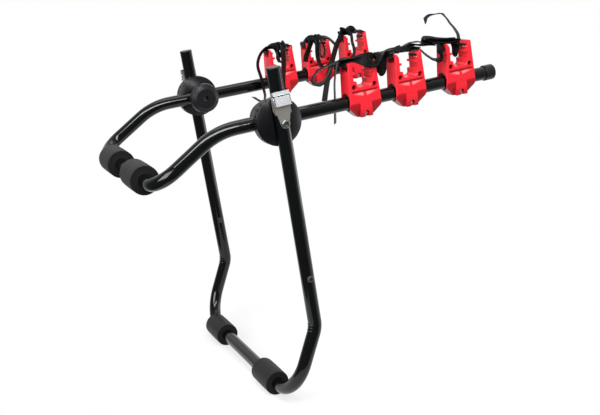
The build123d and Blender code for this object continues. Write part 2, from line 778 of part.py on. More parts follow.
def main():
    os.makedirs("parts", exist_ok=True)
    save("lower_frame", lower_frame())
    save("upper_frame", upper_frame())
    one_side = {
        "leg_cap": leg_cap(), "arm_cap": arm_cap(), "outer_saddle": outer_saddle(),
        "inner_saddle": inner_saddle(), "buckle_bracket": buckle_bracket(),
        "cam_lever": cam_lever(), "lever_pin": lever_pin(), "lever_spring": lever_spring()}
    hub = leg_frame
    on_bolt = {"knob": knob(), "knob_nut": knob_nut(), "knob_washer": knob_washer()}
    one_side.update({name: hub * shape for name, shape in on_bolt.items()})
    for name, shape in one_side.items():
        for side in sides:
            save(f"{name}_{side}", mirrored(shape, side))
    shared = {"hub_bolts": hub * hub_bolt(), "anchor_bolts": anchor_bolt(), "anchor_nuts": anchor_nut()}
    for name, shape in shared.items():
        save(name, group([mirrored(shape, side) for side in sides]))
    for side in sides:
        save(f"lower_pad_{side}", pad(lower_pad_d, lower_pad_starts[side]))
        save(f"upper_pad_{side}", upper_crossbar_place() * pad(upper_pad_d, upper_pad_starts[side]))
    front, back, rubber = screw_half(), nut_half(), liner()
    upper_screws, low_screws, nuts = [], [], []
    for side, places in cradle_places.items():
        for index, place in enumerate(places):
            frame = on_arm(side, place)
            name = f"{side}_{index + 1}"
            save(f"cradle_{name}_screw_half", frame * front)
            save(f"cradle_{name}_nut_half", frame * back)
            save(f"cradle_liner_{name}", frame * rubber)
            save(f"strap_{name}", strap(side, index))
            *upper, low = [frame * cradle_screw(y, z, depth) for y, z, depth in screw_places()]
            upper_screws += upper
            low_screws.append(low)
            nuts += [frame * cradle_nut(y, z) for y, z, depth in screw_places()]
    save("cradle_screws", group(upper_screws))
    save("cradle_clamp_screws", group(low_screws))
    save("cradle_nuts", group(nuts))


if __name__ == "__main__":
    main()
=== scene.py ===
import math

import bmesh
import bpy
import numpy as np
from bpy.props import FloatProperty, FloatVectorProperty, IntProperty, PointerProperty
from mathutils import Matrix, Vector, noise


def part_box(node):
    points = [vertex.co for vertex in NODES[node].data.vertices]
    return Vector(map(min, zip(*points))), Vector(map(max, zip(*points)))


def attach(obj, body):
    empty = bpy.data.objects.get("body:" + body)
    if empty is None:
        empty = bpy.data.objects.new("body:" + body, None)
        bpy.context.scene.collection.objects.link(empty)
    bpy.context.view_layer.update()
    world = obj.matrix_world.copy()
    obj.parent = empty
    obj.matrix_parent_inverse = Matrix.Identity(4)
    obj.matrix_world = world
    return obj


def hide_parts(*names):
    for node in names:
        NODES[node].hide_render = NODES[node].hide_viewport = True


bl_info = {
    "name": "Car bike rack",
    "version": (1, 0, 0),
    "blender": (4, 5, 0),
    "location": "3D View > Sidebar > Bike rack",
    "description": "Finishes, pads, straps and a studio for a bike rack that hangs behind a car",
    "category": "Object",
}

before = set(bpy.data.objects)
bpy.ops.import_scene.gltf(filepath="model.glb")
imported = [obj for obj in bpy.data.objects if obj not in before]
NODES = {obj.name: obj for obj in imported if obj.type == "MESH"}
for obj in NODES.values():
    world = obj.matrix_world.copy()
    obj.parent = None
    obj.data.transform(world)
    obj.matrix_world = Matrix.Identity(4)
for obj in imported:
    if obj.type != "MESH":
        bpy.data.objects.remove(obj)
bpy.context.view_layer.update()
MM = 0.001
SIDES = {"left": -1, "right": 1}

# The arms' own frame in mm, tilted with them: the origin on the hub axis, the arms along -Y
ARM_X = 228.0
PIVOT = Vector((0, 26.6, 613.8))
ARM_TILT = Matrix.Rotation(math.radians(-8.1), 4, "X")

# How far out along its arm each cradle sits, in mm
CRADLES = {"left": (211.0, 326.5, 458.0), "right": (228.0, 336.0, 449.0)}

# The arms' frame in the shaders, in m: its directions, and what they read at the pivot
ARM_UP = (0, 0.1409, 0.99)
ARM_DOWN = (0, -0.1409, -0.99)
ARM_OUT = (0, -0.99, 0.1409)
PIVOT_UP = 0.6114
PIVOT_OUT = 0.06015

# The legs' directions in the shaders, and the pressed channel around a lever's plate, where
# painted shade darkens the plating: its height up the leg, its middle and its half width, in m
LEG_UP = (0, 0.168, 0.986)
LEG_BACK = (0, 0.986, -0.168)
CHANNEL_RISE = 0.6687
CHANNEL_MIDDLE = -0.0769
CHANNEL_HALF = 0.0164

# The camera, at the point that the photograph was taken from. Loose webbing is turned from it too.
EYE = Vector((-1.8723, 0.7454, 0.8694))
EYE_TURN = math.radians(-115.408)
EYE_TILT = math.radians(13.848)
LENS = 52.4
SENSOR_WIDTH = 36.0


def on_arm(side, shift, along, up):
    """A point given by its sideways shift, its distance along an arm and its height above it."""
    local = ARM_TILT @ Vector((SIDES[side] * ARM_X + shift, -along, up))
    return (PIVOT + local) * MM


# Shader building


class Wire:
    """An output socket that adds Math nodes when it is used in an expression."""

    def __init__(self, finish, socket):
        self.finish = finish
        self.socket = socket

    def math(self, operation, first, second):
        return self.finish.node("Math", {"operation": operation}, {0: first, 1: second})

    def __add__(self, other):
        return self.math("ADD", self, other)

    def __sub__(self, other):
        return self.math("SUBTRACT", self, other)

    def __rsub__(self, other):
        return self.math("SUBTRACT", other, self)

    def __mul__(self, other):
        return self.math("MULTIPLY", self, other)

    def __abs__(self):
        return self.finish.node("Math", {"operation": "ABSOLUTE"}, {0: self})

    __radd__ = __add__
    __rmul__ = __mul__

    def least(self, other):
        return self.math("MINIMUM", self, other)

    def beside(self, name):
        """Another output of the same node."""
        return Wire(self.finish, self.socket.node.outputs[name])


class Finish:
    """A node tree under construction, of a material or of the world."""

    def __init__(self, tree):
        self.tree = tree
        tree.nodes.clear()

    def node(self, kind, settings=None, sockets=None, out=0):
        """One node: its settings first, then the values or links of its sockets."""
        made = self.tree.nodes.new("ShaderNode" + kind)
        for name, value in (settings or {}).items():
            setattr(made, name, value)
        for name, value in (sockets or {}).items():
            if isinstance(value, Wire):
                self.tree.links.new(value.socket, made.inputs[name])
            else:
                made.inputs[name].default_value = value
        return Wire(self, made.outputs[out])

    def place(self):
        """Where a point of the surface lies on its piece, in metres."""
        return self.node("TexCoord", out="Object")

    def facing(self):
        """The direction in which a point of the surface faces."""
        return self.node("TexCoord", out="Normal")

    def noise(self, where, scale, detail=3.0, rough=0.55):
        sockets = {"Vector": where, "Scale": scale, "Detail": detail, "Roughness": rough}
        return self.node("TexNoise", {}, sockets)

    def stretch(self, where, scale):
        return self.node("VectorMath", {"operation": "MULTIPLY"}, {0: where, 1: scale})

    def reach(self, where, direction):
        """How far a point lies along a direction."""
        sockets = {0: where, 1: direction}
        return self.node("VectorMath", {"operation": "DOT_PRODUCT"}, sockets, out="Value")

    def limits(self, value, low, high, to_low=0.0, to_high=1.0):
        """A value mapped from one range to another and held within it."""
        sockets = {
            "Value": value, "From Min": low, "From Max": high, "To Min": to_low, "To Max": to_high}
        return self.node("MapRange", {"clamp": True}, sockets)

    def fall(self, value, low, high):
        """1 below the first limit, down to 0 at the second."""
        return self.limits(value, low, high, 1.0, 0.0)

    def band(self, value, start, full, fade, end):
        """1 between two limits and 0 outside, with soft edges."""
        return self.limits(value, start, full) * self.fall(value, fade, end)

    def blend(self, factor, first, second):
        """One colour where the factor is 0 and the other where it is 1."""
        sockets = {0: factor, 6: first, 7: second}
        return self.node("Mix", {"data_type": "RGBA"}, sockets, out=2)

    def bump(self, height, distance, strength=1.0):
        sockets = {"Height": height, "Distance": distance, "Strength": strength}
        return self.node("Bump", {}, sockets)

    def surface(self, sockets):
        self.finish("OutputMaterial", self.node("BsdfPrincipled", {}, sockets))

    def finish(self, kind, shader):
        """Link a shader to the tree's output node."""
        output = self.tree.nodes.new("ShaderNode" + kind)
        self.tree.links.new(shader.socket, output.inputs["Surface"])


def shade(colour, factor=1.0):
    """A colour with its alpha, made lighter or darker."""
    return tuple(min(1.0, part * factor) for part in colour[:3]) + (1.0,)


MATERIALS = {}


def material(name, build, **facts):
    """A material by name, built the first time that it is asked for."""
    if name not in MATERIALS:
        made = bpy.data.materials.new(name)
        made.use_nodes = True
        build(Finish(made.node_tree), **facts)
        MATERIALS[name] = made
    return MATERIALS[name]


def enamel(f, colour, gloss):
    """Baked black enamel: a faint orange peel, dust in places and fine rubbed scratches."""
    where = f.place()
    cloud = f.noise(where, scale=9.0, detail=4.0)
    dust = f.limits(f.noise(where, scale=55.0, detail=5.0, rough=0.7), 0.55, 0.78)
    rubbed = f.stretch(where, (900, 90, 260))
    scratch = f.limits(f.noise(rubbed, scale=1.0, detail=2.0), 0.66, 0.72)
    peel = f.noise(where, scale=520.0, detail=2.0)
    base = f.blend(dust * 0.4 + cloud * 0.3, shade(colour), shade(colour, 2.2))
    base = f.blend(scratch * 0.3, base, shade(colour, 8.0))
    f.surface({
        "Base Color": base,
        "Roughness": gloss + 0.04 * cloud + 0.1 * dust + 0.08 * scratch,
        "Specular IOR Level": 0.4,
        "Normal": f.bump(peel - 0.6 * scratch, 0.02 * MM, 0.25)})


def moulded(f, colour, rough, grain, specular):
    """Moulded plastic or rubber: a spark-eroded grain, soft blotches and paler worn edges."""
    where = f.place()
    blotch = f.noise(where, scale=24.0, detail=3.0)
    speckle = f.noise(where, scale=1500.0 * grain, detail=2.0)
    edge = f.limits(f.node("NewGeometry", out="Pointiness"), 0.52, 0.60)
    worn = edge * f.limits(f.noise(where, scale=130.0, detail=4.0), 0.35, 0.6)
    base = f.blend(blotch * 0.5 + worn * 0.4, shade(colour), shade(colour, 2.0))
    f.surface({
        "Base Color": base,
        "Roughness": rough + 0.08 * blotch - 0.05 * speckle,
        "Specular IOR Level": specular,
        "Normal": f.bump(speckle + 0.4 * blotch, 0.03 * MM, 0.4)})


def cradle_plastic(f, colour, rough, places):
    """Bright moulded nylon: faint flow marks and small whitened scuffs, painted shade in the line
    sunk across each cradle, a painted highlight in a tapered patch under it, and painted shade on
    the faces that tilt down and on the lowest part under the arm."""
    where = f.place()
    flow = f.noise(f.stretch(where, (40, 14, 70)), scale=1.0, detail=4.0)
    speckle = f.noise(where, scale=1300.0, detail=2.0)
    scuff = f.limits(f.noise(where, scale=210.0, detail=5.0, rough=0.7), 0.68, 0.8)

    # Height above the arm's axis, and distance from the middle of the nearest cradle
    height = f.reach(where, ARM_UP) - PIVOT_UP
    out = f.reach(where, ARM_OUT)
    first, second, third = [abs(out - (PIVOT_OUT + place)) for place in places]
    nearest = first.least(second).least(third)

    # Painted shade: a dark band along the line sunk across each cradle
    groove_shade = f.band(height, 22.2 * MM, 23.4 * MM, 25.2 * MM, 26.4 * MM)
    groove_shade = groove_shade * f.fall(nearest, 31 * MM, 33 * MM)
    # Painted highlight: a pale patch under the sunk line, narrowing and fading towards the cradle's
    # ends
    wedge_highlight = f.limits(height - nearest * 0.24, 10.5 * MM, 14.5 * MM)
    wedge_highlight = wedge_highlight * f.fall(height, 19 * MM, 21.5 * MM) * f.limits(nearest, 2 * MM, 6 * MM)
    wedge_highlight = wedge_highlight * f.limits(nearest, 14 * MM, 32 * MM, 1.0, 0.2)
    # Painted shade on the faces that tilt down, below about the arm's axis
    facet_shade = f.limits(f.reach(f.facing(), ARM_DOWN), 0.08, 0.22) * f.fall(height, -6 * MM, 4 * MM)
    # Painted shade: darker towards the bottom, from 12 mm below the arm's axis
    foot_shade = f.fall(height, -36 * MM, -12 * MM)

    base = f.blend(flow * 0.6, shade(colour, 0.86), shade(colour, 1.08))
    base = f.blend(scuff * 0.25, base, (0.9, 0.32, 0.34, 1))
    # Painted highlight under the sunk line
    base = f.blend(wedge_highlight * 0.55, base, (0.9, 0.3, 0.3, 1))
    # Painted shade in the sunk line
    base = f.blend(groove_shade * 0.85, base, (0.2, 0.001, 0.003, 1))
    # Painted shade on the faces that tilt down
    base = f.blend(facet_shade * 0.75, base, (0.2, 0.001, 0.004, 1))
    # Painted shade on the lowest part under the arm
    base = f.blend(foot_shade * 0.85, base, shade(colour, 0.3))
    f.surface({
        "Base Color": base,
        "Roughness": rough + 0.08 * flow + 0.2 * scuff,
        "Specular IOR Level": 0.3,
        "Normal": f.bump(0.5 * speckle + flow, 0.05 * MM, 0.4)})


def foam_rubber(f, colour, rough):
    """Skinned foam rubber: fine pores, drag lines, pale handling marks, and dull ends that are made
    black with painted shade.
    """
    where = f.place()
    pores = f.node("TexVoronoi", {"feature": "F1"}, {"Vector": where, "Scale": 900.0})
    drag = f.noise(f.stretch(where, (6, 420, 420)), scale=1.0, detail=3.0)
    rub = f.limits(f.noise(where, scale=42.0, detail=5.0, rough=0.65), 0.5, 0.75)
    # The ends, which face along X: rougher, and darkened with painted shade
    sideways = f.node("SeparateXYZ", {}, {"Vector": f.facing()}, out="X")
    dull_and_shaded_end = f.limits(abs(sideways), 0.7, 0.9)
    base = f.blend(drag * 0.5 + rub * 0.4, shade(colour), shade(colour, 2.1))
    # Painted shade making the ends black
    base = f.blend(dull_and_shaded_end, base, shade(colour, 0.2))
    f.surface({
        "Base Color": base,
        "Roughness": rough + 0.1 * drag + 0.08 * rub + 0.3 * dull_and_shaded_end,
        "Specular IOR Level": 0.3,
        "Normal": f.bump(drag * 0.7 + pores * 0.5, 0.2 * MM, 0.5)})


def bright_metal(f, colour, rough, grain):
    """Plated or bare steel: fine rolling lines, cloudy patches and small pits."""
    where = f.place()
    lines = f.noise(f.stretch(where, (60, 900, 900)), scale=1.0, detail=3.0)
    cloud = f.noise(where, scale=60.0, detail=4.0)
    pits = f.limits(f.noise(where, scale=700.0, detail=3.0), 0.62, 0.75)
    base = f.blend(cloud * 0.6 + pits * 0.4, shade(colour, 1.1), shade(colour, 0.72))
    f.surface({
        "Base Color": base,
        "Metallic": 1.0,
        "Roughness": rough + grain * cloud + 0.15 * pits,
        "Normal": f.bump(lines * grain * 2 - pits, 0.05 * MM, 0.5)})


def lever_plating(f, colour, rough):
    """Bright plating with soft streaks, painted shade in the pressed channel around the lever's
    plate, and a lip above it that is rougher and darkened with painted shade."""
    where = f.place()
    rise = f.reach(where, LEG_UP) - CHANNEL_RISE
    apart = abs(f.reach(where, LEG_BACK) - CHANNEL_MIDDLE) - CHANNEL_HALF
    # Painted shade in the channel: a thin band under the lip and strips just outside the plate
    top = f.band(rise, -2.2 * MM, -1.7 * MM, -0.3 * MM, 0.0)
    rim = f.band(apart, 0.0, 0.4 * MM, 1.2 * MM, 1.6 * MM) * f.fall(rise, -0.4 * MM, 0.0)
    # The lip above the channel, made rougher and given painted shade
    lip = f.limits(rise, 0.0, 0.3 * MM)
    cloud = f.noise(f.stretch(where, (60, 300, 90)), scale=1.0, detail=4.0)
    base = f.blend(cloud * 0.5, shade(colour, 1.1), shade(colour, 0.8))
    # Painted shade: a darker copy of the plating on the lip
    base = f.blend(lip, base, (0.34, 0.35, 0.36, 1))
    # Painted shade: near black in the channel
    base = f.blend(f.limits(top + rim, 0.0, 1.0), base, (0.02, 0.02, 0.022, 1))
    f.surface({
        "Base Color": base,
        "Metallic": 1.0,
        "Roughness": rough + 0.1 * cloud + 0.2 * lip,
        "Normal": f.bump(cloud, 0.03 * MM, 0.4)})


def webbing(f, colour, rough):
    """Woven strap: ribs across it, warp threads along it, stray fibres and faded patches."""
    run = f.node("Attribute", {"attribute_name": "weave"}, out="Vector")
    across = f.node("SeparateXYZ", {}, {"Vector": run}, out="X")
    along = across.beside("Y")
    ribs = f.node("Math", {"operation": "SINE"}, {0: along * 3600.0})
    threads = f.node("Math", {"operation": "SINE"}, {0: across * 5200.0})
    weave = ribs * 0.5 + threads * 0.35 + f.noise(run, scale=900.0, detail=2.0) * 0.4
    fade = f.noise(run, scale=30.0, detail=4.0)
    base = f.blend(f.limits(weave, -0.6, 1.0), shade(colour, 0.6), shade(colour, 1.7))
    base = f.blend(fade * 0.4, base, shade(colour, 2.4))
    f.surface({
        "Base Color": base,
        "Roughness": rough + 0.12 * fade,
        "Specular IOR Level": 0.07,
        "Normal": f.bump(weave, 0.3 * MM, 0.7)})


def paint(names, made):
    """Put one material on CAD nodes."""
    for name in names:
        mesh = NODES[name].data
        mesh.materials.clear()
        mesh.materials.append(made)


def both(*stems):
    """The names of nodes that each side has."""
    return [f"{stem}_{side}" for stem in stems for side in SIDES]


def add_piece(name, mesh, body, made, nodes):
    """A new piece that rides on a body and stands for CAD nodes."""
    piece = bpy.data.objects.new(name, mesh)
    bpy.context.scene.collection.objects.link(piece)
    mesh.materials.append(made)
    for face in mesh.polygons:
        face.use_smooth = True
    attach(piece, body)
    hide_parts(*nodes)
    return piece


# Sizes and colours that a user would change


class RackLook(bpy.types.PropertyGroup):
    enamel: FloatVectorProperty(
        name="Frame enamel", description="Colour of both tube frames",
        subtype="COLOR", default=(0.0011, 0.0016, 0.0018), min=0, max=1)
    gloss: FloatProperty(
        name="Enamel roughness", description="Roughness of the frames", default=0.08, min=0, max=1)
    cradle: FloatVectorProperty(
        name="Cradle plastic", description="Colour of the bike cradles",
        subtype="COLOR", default=(0.72, 0.017, 0.03), min=0, max=1)
    rubber: FloatVectorProperty(
        name="Pad foam", description="Colour of the pads that rest on the car",
        subtype="COLOR", default=(0.004, 0.004, 0.0042), min=0, max=1)
    hub: FloatVectorProperty(
        name="Hub plastic", description="Colour of the hub saddles and knobs",
        subtype="COLOR", default=(0.0025, 0.0025, 0.0032), min=0, max=1)
    strap: FloatVectorProperty(
        name="Webbing", description="Colour of the cradle straps",
        subtype="COLOR", default=(0.004, 0.004, 0.0042), min=0, max=1)


class RackSizes(bpy.types.PropertyGroup):
    pad_crown: FloatProperty(
        name="Pad crown", description="How much thicker a pad is at its middle",
        subtype="DISTANCE", default=0.4 * MM, min=0, max=2 * MM)
    pad_edge: FloatProperty(
        name="Pad edge", description="Radius of a pad's rounded rim",
        subtype="DISTANCE", default=1.8 * MM, min=1 * MM, max=8 * MM)
    pad_sides: IntProperty(
        name="Pad facets", description="Number of faces round a pad", default=96, min=24, max=256)
    strap_width: FloatProperty(
        name="Strap width", description="Width of the webbing",
        subtype="DISTANCE", default=25.0 * MM, min=10 * MM, max=40 * MM)
    strap_thickness: FloatProperty(
        name="Strap thickness", description="Thickness of the webbing",
        subtype="DISTANCE", default=1.8 * MM, min=0.8 * MM, max=3 * MM)


# Pads

PAD_BORE = 14.3 * MM
PAD_RIM_STEPS = 6
PAD_CROWN_STEPS = 8

# The unevenness of a pad's skin: its depth as a share of the radius, how close the waves are along
# the pad and round it, and how far they shift from pad to pad. The skin is all of a pad beyond
# PAD_SKIN of its radius.
PAD_SKIN = 0.8
PAD_WAVE = 0.0035
PAD_WAVE_ALONG = 30
PAD_WAVE_ROUND = 2.0
PAD_WAVE_SHIFT = 90

# The moulding line of a pad: its depth as a share of the radius, its place as a share of a turn,
# and its half width in facets
PAD_LINE_DEPTH = 0.006
PAD_LINE_PLACE = 0.31
PAD_LINE_HALF = 0.8


def pad_profile(length, radius, edge, crown):
    """A pad's section as (distance along it, radius), from bore to bore."""
    points = [(0.0, PAD_BORE), (0.0, PAD_BORE + 1.0 * MM), (0.5 * MM, PAD_BORE + 1.8 * MM)]
    points.append((0.0, radius - edge - 1.5 * MM))
    for step in range(PAD_RIM_STEPS + 1):
        turn = math.pi / 2 * step / PAD_RIM_STEPS
        points.append((edge - edge * math.cos(turn), radius - edge + edge * math.sin(turn)))
    for step in range(1, PAD_CROWN_STEPS + 1):
        share = step / PAD_CROWN_STEPS
        place = edge + (length / 2 - edge) * share
        points.append((place, radius + crown * math.sin(math.pi / 2 * share)))
    return points + [(length - place, reach) for place, reach in reversed(points[:-1])]


def pad_mesh(name, node, sizes):
    """A foam sleeve turned round its crossbar, in the box of its CAD node."""
    low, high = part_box(node)
    centre = (low + high) / 2
    length = high.x - low.x
    radius = (high.y - low.y) / 2 - sizes.pad_crown
    profile = pad_profile(length, radius, sizes.pad_edge, sizes.pad_crown)
    bm = bmesh.new()
    rings = []
    count = sizes.pad_sides
    shift = Vector((low.x * PAD_WAVE_SHIFT, 0, 3))
    for place, reach in profile:
        ring = []
        for index in range(count):
            turn = 2 * math.pi * index / count
            y, z = math.cos(turn), math.sin(turn)
            wave = 1.0
            if reach > radius * PAD_SKIN:
                seat = Vector((place * PAD_WAVE_ALONG, y * PAD_WAVE_ROUND, z * PAD_WAVE_ROUND))
                wave += PAD_WAVE * noise.noise(seat + shift)
                apart = (index - count * PAD_LINE_PLACE) / PAD_LINE_HALF
                wave -= PAD_LINE_DEPTH * math.exp(-apart ** 2)
            spot = (low.x + place, centre.y + reach * wave * y, centre.z + reach * wave * z)
            ring.append(bm.verts.new(spot))
        rings.append(ring)
    rings.append(rings[0])
    for first, second in zip(rings, rings[1:]):
        for index in range(count):
            after = (index + 1) % count
            bm.faces.new((first[index], first[after], second[after], second[index]))
    bmesh.ops.recalc_face_normals(bm, faces=bm.faces)
    mesh = bpy.data.meshes.new(name)
    bm.to_mesh(mesh)
    bm.free()
    return mesh


# Straps. HEM, POST, OVER, HALF_OVER and STUB lie flat over a cradle, with rows of (sideways shift,
# distance from the cradle's middle, height above the arm) in mm. LOOSE has each strap's other
# stretches, with rows of (sideways shift, distance along the arm, height above it, turn in degrees
# and, where the webbing is folded or twisted narrower, its share of the width). A turn of 0 shows
# the webbing's edge to EYE. Straps in BARE_POSTS are open between HALF_OVER and STUB.

HEM = [(0, -33, 72.6), (0, -22, 72.7), (0, -20.4, 74.6), (0, -22, 76.4), (0, -28, 75.5)]
POST = [(0, -31, 74.5), (0, -35.7, 78), (0, -35.5, 84.5), (0, -31, 86.4), (0, -16, 86.7)]
OVER = HEM + POST + [(0, 0, 86.9)] + [(0, -along, up) for shift, along, up in reversed(HEM + POST)]
HALF_OVER = HEM + POST + [(0, -6, 86.8), (0, 4, 87.4)]
STUB = [(0, 36.4, 76.5), (0, 22, 76.4), (0, 20.4, 74.6), (0, 22, 72.8), (0, 36.4, 72.5)]
LOOSE = {
    "strap_left_1": [
        [(0, 216, 88.9, 14), (0, 192, 89.4, 14), (0, 168, 90.6, 12), (0, 148, 89.3, 9),
         (0, 133, 85.6, 8), (0, 115, 79.5, 8), (0, 104, 69, 9), (0, 102, 61, 15), (0, 107, 56, 20),
         (0, 117, 53, 20), (0, 129, 58, 14), (0, 139, 69, 9), (0, 149, 82, 8)],
        [(7, 196, 92.6, 10), (19, 187, 91.5, 8), (27, 178, 86, 6), (28.5, 173, 74, 6),
         (28.5, 169, 58, 6), (28.5, 165, 38, 6), (28.5, 162.5, 12, 7), (28.5, 159, -18, 8),
         (28.5, 156, -44, 9)],
        [(-2, 192, 89, 14), (-10, 204, 88, 30, 0.8), (-22, 216, 82, 60, 0.7),
         (-25, 228, 76, 80, 0.6), (-25, 240, 78, 60, 0.6), (-22, 252, 84, 40, 0.6),
         (-12, 264, 89, 24, 0.7), (-2, 276, 92, 14), (0, 290, 94, 10), (0, 303, 93, 20)],
        [(-4, 200, 92, 20, 0.8), (-10, 214, 91, 50, 0.7), (-14, 228, 90.5, 75, 0.5),
         (-14, 242, 91, 100, 0.5), (-10, 256, 91, 75, 0.5), (-4, 268, 91, 40, 0.7),
         (0, 280, 91.5, 16), (0, 298, 92.5, 16), (0, 309, 90, 30)],
        [(-16, 236, 93, 20, 0.5), (-24, 230, 84, 60, 0.5), (-26, 236, 74, 110, 0.5),
         (-26, 246, 78, 150, 0.5), (-20, 248, 88, 190, 0.5), (-10, 240, 95, 230, 0.4),
         (-4, 226, 94, 260, 0.4), (0, 212, 92, 300, 0.4)],
        [(0, 262, 90, 30), (-8, 258, 80, 70, 0.7), (-12, 256, 68, 95, 0.6),
         (-12, 257, 56, 110, 0.6), (-10, 262, 49, 150, 0.6), (-8, 267, 56, 110, 0.6),
         (-6, 270, 68, 90, 0.6), (-2, 275, 80, 60, 0.7), (0, 284, 89, 30)],
        [(-8, 298, 92, 20, 0.6), (-8, 311, 93, 60, 0.6), (-6, 321, 92, 30, 0.7), (-4, 331, 90, 10),
         (-4, 342, 92.2, 6), (-4, 352, 94.5, 5), (-2, 364, 92.5, 5), (0, 375, 90.6, 6),
         (0, 390, 89.4, 10), (0, 404, 88.5, 20)],
        [(6, 302, 92, 10, 0.6), (4, 315, 93, 50, 0.6), (0, 326, 95, 20), (2, 336, 98.3, 8),
         (2, 346, 100.5, 4), (2, 356, 100.4, 4), (2, 366, 99.6, 4), (0, 378, 96, 6),
         (0, 390, 93, 14)],
        [(-4, 314, 90.5, 40, 0.6), (-12, 324, 92, 90, 0.5), (-12, 334, 95, 120, 0.5),
         (-8, 346, 96.5, 177, 0.6), (-4, 356, 95.5, 184, 0.8), (-2, 370, 93.5, 186, 0.8),
         (0, 384, 94, 190, 0.8)]],
    "strap_left_2": [
        [(-2, 342, 91, 30, 0.8), (-2, 352, 89, 14), (0, 360, 87, 8), (0, 370, 81, 8),
         (0, 384.5, 67.5, 8), (0, 400, 56, 10), (-4, 408, 54, 14), (-12, 411, 57, 22),
         (-20, 408, 64, 34, 0.8), (-22, 406, 72, 36, 0.8), (-20, 405, 80, 30, 0.8),
         (-10, 408, 88, 20, 0.8)],
        [(4, 318, 89.4, 10, 0.7), (-2, 330, 89.5, 40, 0.7), (-8, 341, 90.5, 70, 0.5),
         (-4, 352, 90.2, 20, 0.6), (0, 364, 88.5, 8, 0.7)]],
    "strap_left_3": [
        [(0, 470, 83, 34), (0, 456, 86, 28), (0, 440, 88.5, 28), (0, 424, 90.5, 28),
         (0, 408, 93.5, 30), (0, 392, 97.5, 30), (0, 383, 100.5, 24), (0, 381.5, 103, 10),
         (0, 386, 103.5, 20), (0, 400, 99.5, 30), (0, 416, 95, 30), (0, 436, 91, 28),
         (0, 454, 88, 28), (0, 468, 84.5, 36)],
        [(-3, 450, 86, 30), (-2, 456, 80, 40, 0.7), (-1, 459, 70, 50, 0.6), (0, 459.5, 60, 80, 0.5),
         (0, 460.5, 54.5, 110, 0.4), (0, 463, 60, 90, 0.4), (1, 466, 70, 50, 0.6),
         (2, 470, 82, 40, 0.7)],
        [(0, 463.7, 84.4, 30), (0, 471.5, 89.2, 15), (0, 471.2, 99.3, 13), (0, 463.8, 112.6, 9),
         (0, 452.9, 126.4, 7), (0, 444.3, 138.7, 5), (0, 433.3, 149.3, 3), (0, 421.5, 151.5, 1),
         (0, 407.1, 150.9, 3), (0, 396, 148.3, 16), (0, 386.7, 141, 26)]],
    "strap_right_1": [
        [(-5, 206, 88.9, 18), (-13, 190, 88.6, 16), (-22, 176, 84, 15), (-28, 164, 75, 15),
         (-28, 157.5, 62, 15), (-28, 155.5, 48, 15), (-28, 158.5, 30, 15), (-28, 162, 10, 15),
         (-28, 163, -10, 14), (-28, 164, -27, 12), (-28, 159, -37, 10), (-28, 149, -37, 9),
         (-28, 140, -31, 9), (-28, 132, -24, 10)],
        [(-6, 238, 88.9, 20), (-22, 232, 91, 22), (-36, 226.5, 82, 25), (-36, 225.5, 61, 26),
         (-36, 222, 33, 26), (-36, 216, 3, 26), (-36, 214, -26, 27)],
        [(-2, 198, 90, 12, 0.8), (-8, 211, 92, 60, 0.7), (-10, 220, 88, 110, 0.7),
         (-14, 219, 74, 160, 0.7), (-16, 219, 60, 150, 0.7), (-14, 223, 48, 150, 0.6)],
        [(2, 206, 92, 0, 0.7), (-2, 220, 90, 60, 0.7), (-4, 232, 92, 130, 0.7),
         (0, 244, 89.5, 180, 0.7), (0, 258, 89, 192, 0.7)],
        [(-12, 230, 88, 30, 0.6), (-16, 234, 76, 60, 0.5), (-15, 230, 64, 110, 0.5),
         (-12, 226, 74, 160, 0.5), (-8, 232, 86, 200, 0.5)]],
    "strap_right_2": [
        [(-8, 316, 88.9, 20), (-24, 311, 92, 24), (-36, 306, 84, 27), (-36, 298, 68, 27),
         (-36, 290, 54, 27), (-36, 286, 40, 27)],
        [(-8, 334, 88.9, 20), (-22, 329, 92, 20), (-36, 325, 79, 23), (-36, 323, 60, 23),
         (-36, 323, 42, 22), (-36, 328, 27, 20), (-36, 337, 18, 18)],
        [(0, 352, 89.5, 24), (0, 367, 89.2, 16), (0, 380, 82, 14), (0, 390, 72, 14),
         (0, 398, 63, 16), (0, 405, 67, 20)],
        [(-4, 303, 89.5, 10, 0.7), (-9, 315, 93, 60, 0.7), (-8, 326, 94, 120, 0.7),
         (-2, 338, 92.5, 180, 0.7), (-2, 350, 93.5, 230, 0.7), (0, 362, 91, 196, 0.7),
         (0, 373, 87, 194, 0.7)],
        [(-6, 342, 89, 20, 0.5), (-22, 345, 84, 12, 0.5), (-25, 350, 66, 10, 0.5),
         (-25, 349, 50, 10, 0.5), (-25, 342, 42, 12, 0.5), (-25, 336, 52, 12, 0.5),
         (-24, 338, 70, 12, 0.5), (-16, 340, 88, 20, 0.5)]],
    "strap_right_3": [
        [(-6, 446, 89.5, 20), (-18, 436, 94, 18), (-28, 431.5, 90, 15), (-28, 432.8, 80, 15),
         (-28, 433, 66.8, 15), (-28, 436, 50, 15), (-28, 434.5, 34, 15), (-28, 425.3, 23, 15)],
        [(0, 428, 88.9, 24), (-10, 415, 96.5, 24), (-24, 406, 94, 26), (-36, 394, 84, 28),
         (-36, 383, 70, 29), (-36, 371, 46, 30), (-36, 360, 21.5, 30), (-36, 349.5, -3, 31),
         (-36, 340, -28, 32), (-36, 326.5, -72, 34)],
        [(0, 414, 90, 10, 0.7), (-4, 425, 93, 60, 0.7), (-6, 436, 94, 110, 0.7),
         (-2, 447, 97, 150, 0.7), (0, 457, 94, 196, 0.7), (0, 468, 90, 196, 0.7),
         (0, 481, 89, 194, 0.7)],
        [(2, 430, 90, 20, 0.7), (4, 440, 98, 40, 0.6), (2, 450, 99, 90, 0.6),
         (0, 458, 92, 140, 0.6)]],
}
BARE_POSTS = ("strap_left_2", "strap_left_3")

